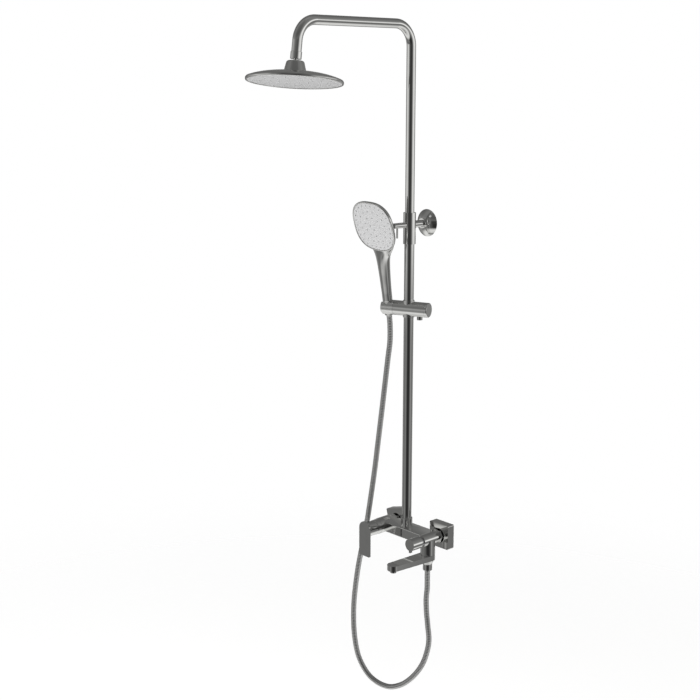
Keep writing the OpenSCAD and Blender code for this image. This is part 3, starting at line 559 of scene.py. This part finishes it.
for name, body, width in (
        ("mixer_body", "wall_unit", 0.7), ("union_nut_left", "wall_unit", 0.5),
        ("union_nut_right", "wall_unit", 0.5), ("riser_nut", "wall_unit", 0.8),
        ("sleeve", "wall_unit", 0.6), ("hose_outlet", "wall_unit", 0.5),
        ("hose_nut_mixer", "wall_unit", 0.8), ("lever", "lever", 0.8),
        ("diverter_knob", "diverter", 0.8), ("spout", "spout", 1.2),
        ("aerator_housing", "spout", 0.5), ("arm_nut", "arm", 0.9),
        ("clamp_screw", "clamp", 0.5), ("clamp_bar", "clamp", 0.4),
        ("slider_body", "slider", 0.3), ("slider_cap", "slider", 0.4),
        ("slider_button", "button", 0.6), ("hose_nut_handset", "handset", 0.5)):
    refined(name, body, width)
refined("holder_cradle", "holder", 0.4, slot="satin_chrome")

slots = {s["node"]: s["material_slot"] for s in frame["record"]["subparts"]}
for name, obj in NODES.items():
    material = BY_SLOT[slots[name]]
    if not obj.material_slots:
        obj.data.materials.append(material)
    for material_slot in obj.material_slots:
        material_slot.material = material


# ---- stage, light and world ----

FLOOR_AT = (0, -0.3, -0.95)


def stage_floor():
    """A pale disc that fades out at its rim."""
    verts, faces = lathe([(0.01, 0), (1500, 0), (3600, 0)], 96)
    m, nodes, links, bsdf = new_material("floor")
    floor = piece("floor", verts, faces, m, None, smooth=False)
    floor.location = FLOOR_AT
    bsdf.inputs["Base Color"].default_value = (0.9, 0.9, 0.9, 1)
    bsdf.inputs["Roughness"].default_value = 0.9
    bsdf.inputs["Emission Color"].default_value = (1, 1, 1, 1)
    bsdf.inputs["Emission Strength"].default_value = 0.72
    coord = nodes.new("ShaderNodeTexCoord")
    length = nodes.new("ShaderNodeVectorMath")
    length.operation = "LENGTH"
    fade = nodes.new("ShaderNodeMapRange")
    fade.interpolation_type = "SMOOTHSTEP"
    fade.inputs["From Min"].default_value = 1.2
    fade.inputs["From Max"].default_value = 3.4
    clear = nodes.new("ShaderNodeBsdfTransparent")
    mix = nodes.new("ShaderNodeMixShader")
    out = nodes["Material Output"]
    links.new(coord.outputs["Object"], length.inputs[0])
    links.new(length.outputs["Value"], fade.inputs["Value"])
    links.new(fade.outputs["Result"], mix.inputs["Fac"])
    links.new(bsdf.outputs["BSDF"], mix.inputs[1])
    links.new(clear.outputs["BSDF"], mix.inputs[2])
    links.new(mix.outputs["Shader"], out.inputs["Surface"])
    floor.visible_glossy = False


stage_floor()


def light(name, place, target, size, power):
    """A soft rectangle that lights the piece but isn't mirrored in it."""
    data = bpy.data.lights.new(name, "AREA")
    data.shape, data.size, data.size_y, data.energy = "RECTANGLE", size[0], size[1], power
    obj = bpy.data.objects.new(name, data)
    bpy.context.collection.objects.link(obj)
    obj.location = place
    obj.rotation_mode = "QUATERNION"
    obj.rotation_quaternion = (Vector(target) - Vector(place)).to_track_quat("-Z", "Y")
    obj.visible_glossy = False


MIDDLE = (0, -0.2, 0.5)
light("key", (-1.2, -3.0, 1.6), MIDDLE, (1.0, 1.6), 34)
light("fill", (2.6, 0.3, 1.2), MIDDLE, (0.8, 1.8), 16)
light("under", (0.3, -1.6, -0.7), (0, -0.3, 1.1), (1.2, 1.2), 12)


def world():
    """The studio that the chrome mirrors: greys by direction round the camera's own angle,
    another set below the horizon, and a set by height. The camera itself sees white."""
    w = bpy.data.worlds.new("studio")
    bpy.context.scene.world = w
    w.use_nodes = True
    nodes, links = w.node_tree.nodes, w.node_tree.links
    nodes.clear()
    coord = nodes.new("ShaderNodeTexCoord")

    def dot(v):
        n = nodes.new("ShaderNodeVectorMath")
        n.operation = "DOT_PRODUCT"
        n.inputs[1].default_value = v
        links.new(coord.outputs["Generated"], n.inputs[0])
        return n.outputs["Value"]

    front, right = dot((math.sin(AZ), -math.cos(AZ), 0)), dot((math.cos(AZ), math.sin(AZ), 0))
    height = dot((0, 0, 1))
    angle = nodes.new("ShaderNodeMath")
    angle.operation = "ARCTAN2"
    links.new(right, angle.inputs[0])
    links.new(front, angle.inputs[1])
    share = nodes.new("ShaderNodeMapRange")
    share.inputs["From Min"].default_value = -math.pi
    share.inputs["From Max"].default_value = math.pi
    links.new(angle.outputs[0], share.inputs["Value"])

    def ramp(stops, source):
        r = nodes.new("ShaderNodeValToRGB")
        r.color_ramp.interpolation = "EASE"
        while len(r.color_ramp.elements) < len(stops):
            r.color_ramp.elements.new(0.5)
        for e, (at, value) in zip(r.color_ramp.elements, stops):
            e.position, e.color = at, (value, value, value * 0.985, 1)
        links.new(source, r.inputs["Fac"])
        return r.outputs["Color"]

    turn = [(-180, 0.22), (-150, 0.14), (-122, 0.34), (-95, 0.74), (-68, 0.72), (-48, 0.30),
            (-24, 0.045), (12, 0.045), (34, 0.12), (54, 0.66), (84, 0.98), (108, 0.62),
            (128, 0.26), (155, 0.14), (180, 0.22)]
    around = ramp([((a + 180) / 360, v) for a, v in turn], share.outputs["Result"])
    up = nodes.new("ShaderNodeMapRange")
    up.inputs["From Min"].default_value = -1
    up.inputs["From Max"].default_value = 1
    links.new(height, up.inputs["Value"])
    low = [(-180, 0.17), (-130, 0.30), (-100, 0.17), (-76, 0.17), (-52, 0.26), (-34, 0.10),
           (-14, 0.028), (16, 0.028), (36, 0.10), (58, 0.34), (84, 0.17), (118, 0.19),
           (146, 0.42), (180, 0.17)]
    beneath = ramp([((a + 180) / 360, v) for a, v in low], share.outputs["Result"])
    rise = ramp([(0.0, 0.0), (0.395, 0.0), (0.455, 1.0), (1.0, 1.0)], up.outputs["Result"])
    level = nodes.new("ShaderNodeMix")
    level.data_type = "RGBA"
    links.new(rise, level.inputs["Factor"])
    links.new(beneath, level.inputs["A"])
    links.new(around, level.inputs["B"])
    weight = ramp([(0.0, 0.9), (0.12, 0.85), (0.25, 0.0), (0.55, 0.0), (0.64, 0.85), (1.0, 0.9)],
                  up.outputs["Result"])
    above = ramp([(0.0, 0.55), (0.10, 0.95), (0.24, 0.95), (0.45, 0.5), (0.60, 0.17), (0.75, 0.11),
                  (0.92, 0.14), (1.0, 0.2)], up.outputs["Result"])
    mix = nodes.new("ShaderNodeMix")
    mix.data_type = "RGBA"
    links.new(weight, mix.inputs["Factor"])
    links.new(level.outputs["Result"], mix.inputs["A"])
    links.new(above, mix.inputs["B"])
    studio = nodes.new("ShaderNodeBackground")
    links.new(mix.outputs["Result"], studio.inputs["Color"])
    white = nodes.new("ShaderNodeBackground")
    white.inputs["Color"].default_value = (1, 1, 1, 1)
    path = nodes.new("ShaderNodeLightPath")
    both = nodes.new("ShaderNodeMixShader")
    links.new(path.outputs["Is Camera Ray"], both.inputs["Fac"])
    links.new(studio.outputs[0], both.inputs[1])
    links.new(white.outputs[0], both.inputs[2])
    out = nodes.new("ShaderNodeOutputWorld")
    links.new(both.outputs[0], out.inputs["Surface"])


world()
bpy.context.scene.view_settings.view_transform = "Standard"
